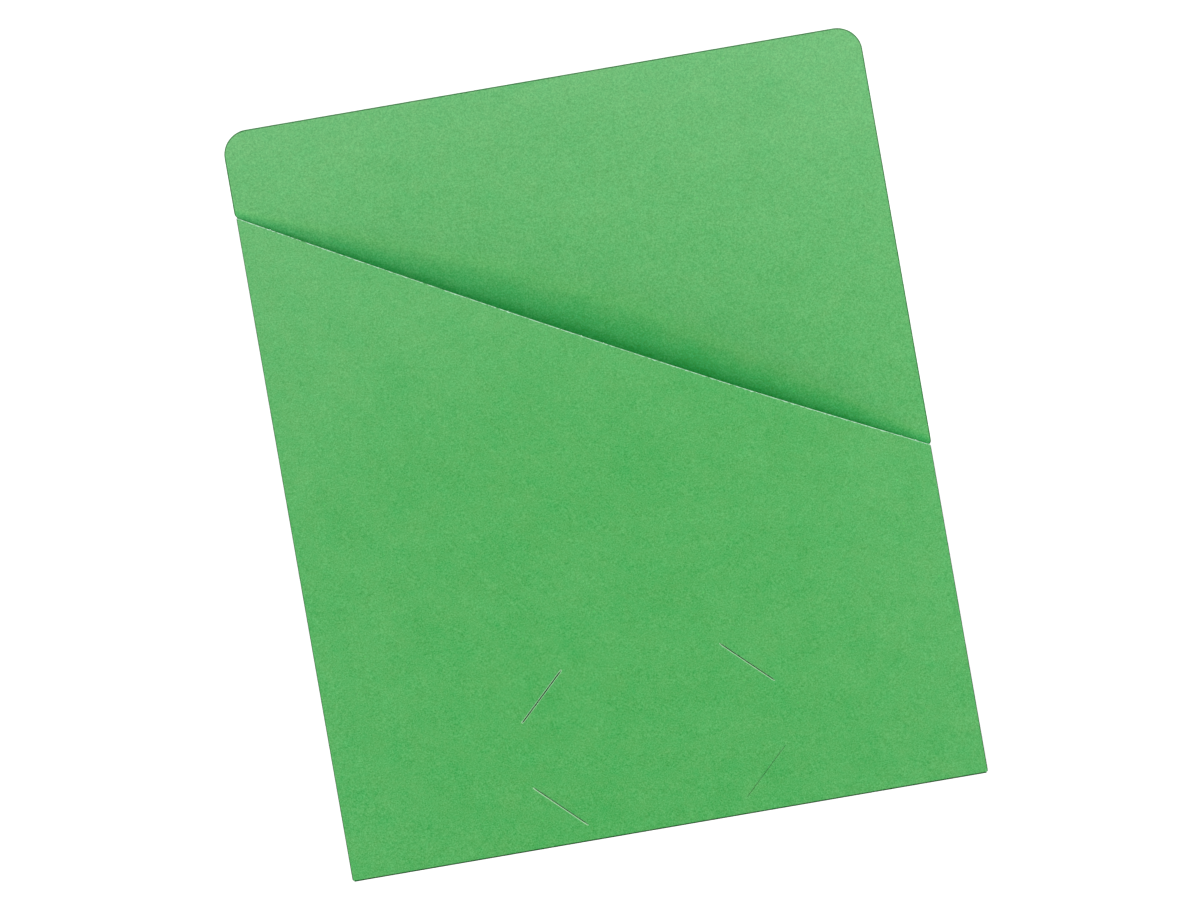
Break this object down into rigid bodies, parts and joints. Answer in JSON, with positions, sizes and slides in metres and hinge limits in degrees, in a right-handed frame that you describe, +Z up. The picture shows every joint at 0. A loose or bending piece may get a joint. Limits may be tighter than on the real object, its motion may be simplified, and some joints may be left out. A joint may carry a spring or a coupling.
{
  "type": "slash jacket folder",
  "caption": "Card jacket folder, glued shut at both sides, with a slanted mouth across its front and slits for a business card.",
  "frame": {"origin": "centre of the folder's outline, on the underside of the back panel", "axes": "+X across the folder to its low slash side, +Y from the bottom crease to the top edge, +Z up out of the front panel, with the folder lying on its back"},
  "size_m": [0.2414, 0.2922, 0.0094],
  "materials": {
    "green_card": "matt uncoated card with a fine mottled grain",
    "creased_card": "the same card, slightly paler where it is creased",
    "dried_glue": "dried white glue"
  },
  "bodies": {
    "back": {"back_panel": "green_card", "bottom_fold": "creased_card", "left_side_fold": "creased_card", "right_side_fold": "creased_card", "left_glue_flap": "green_card", "right_glue_flap": "green_card", "left_glue_line": "dried_glue", "right_glue_line": "dried_glue", "front_panel_left_margin": "green_card", "front_panel_right_margin": "green_card"},
    "bay_01": {"front_panel_bay_01": "green_card"},
    "bay_02": {"front_panel_bay_02": "green_card"},
    "bay_03": {"front_panel_bay_03": "green_card"},
    "bay_04": {"front_panel_bay_04": "green_card"},
    "bay_05": {"front_panel_bay_05": "green_card"},
    "crest_bay": {"front_panel_bay_06": "green_card"},
    "bay_07": {"front_panel_bay_07": "green_card"},
    "bay_08": {"front_panel_bay_08": "green_card"},
    "bay_09": {"front_panel_bay_09": "green_card"}
  },
  "joints": [
    {"name": "mouth_open", "type": "hinge", "parent": "back", "child": "crest_bay", "pos_m": [0, -0.14552, 0.00053], "axis": [1, 0, 0], "range_deg": [-2.55, 2.5], "stiffness_Nm_per_rad": 1, "springref_deg": 0.29},
    {"name": "bow_bay_01", "type": "hinge", "parent": "back", "child": "bay_01", "pos_m": [0, -0.14552, 0.00053], "axis": [1, 0, 0], "range_deg": [-2.55, 2.5]},
    {"name": "bow_bay_02", "type": "hinge", "parent": "back", "child": "bay_02", "pos_m": [0, -0.14552, 0.00053], "axis": [1, 0, 0], "range_deg": [-2.55, 2.5]},
    {"name": "bow_bay_03", "type": "hinge", "parent": "back", "child": "bay_03", "pos_m": [0, -0.14552, 0.00053], "axis": [1, 0, 0], "range_deg": [-2.55, 2.5]},
    {"name": "bow_bay_04", "type": "hinge", "parent": "back", "child": "bay_04", "pos_m": [0, -0.14552, 0.00053], "axis": [1, 0, 0], "range_deg": [-2.55, 2.5]},
    {"name": "bow_bay_05", "type": "hinge", "parent": "back", "child": "bay_05", "pos_m": [0, -0.14552, 0.00053], "axis": [1, 0, 0], "range_deg": [-2.55, 2.5]},
    {"name": "bow_bay_07", "type": "hinge", "parent": "back", "child": "bay_07", "pos_m": [0, -0.14552, 0.00053], "axis": [1, 0, 0], "range_deg": [-2.55, 2.5]},
    {"name": "bow_bay_08", "type": "hinge", "parent": "back", "child": "bay_08", "pos_m": [0, -0.14552, 0.00053], "axis": [1, 0, 0], "range_deg": [-2.55, 2.5]},
    {"name": "bow_bay_09", "type": "hinge", "parent": "back", "child": "bay_09", "pos_m": [0, -0.14552, 0.00053], "axis": [1, 0, 0], "range_deg": [-2.55, 2.5]}
  ],
  "couplings": [
    {"joint": "bow_bay_01", "follows": "mouth_open", "ratio": 0.091},
    {"joint": "bow_bay_02", "follows": "mouth_open", "ratio": 0.272},
    {"joint": "bow_bay_03", "follows": "mouth_open", "ratio": 0.494},
    {"joint": "bow_bay_04", "follows": "mouth_open", "ratio": 0.722},
    {"joint": "bow_bay_05", "follows": "mouth_open", "ratio": 0.911},
    {"joint": "bow_bay_07", "follows": "mouth_open", "ratio": 0.883},
    {"joint": "bow_bay_08", "follows": "mouth_open", "ratio": 0.595},
    {"joint": "bow_bay_09", "follows": "mouth_open", "ratio": 0.269}
  ]
}
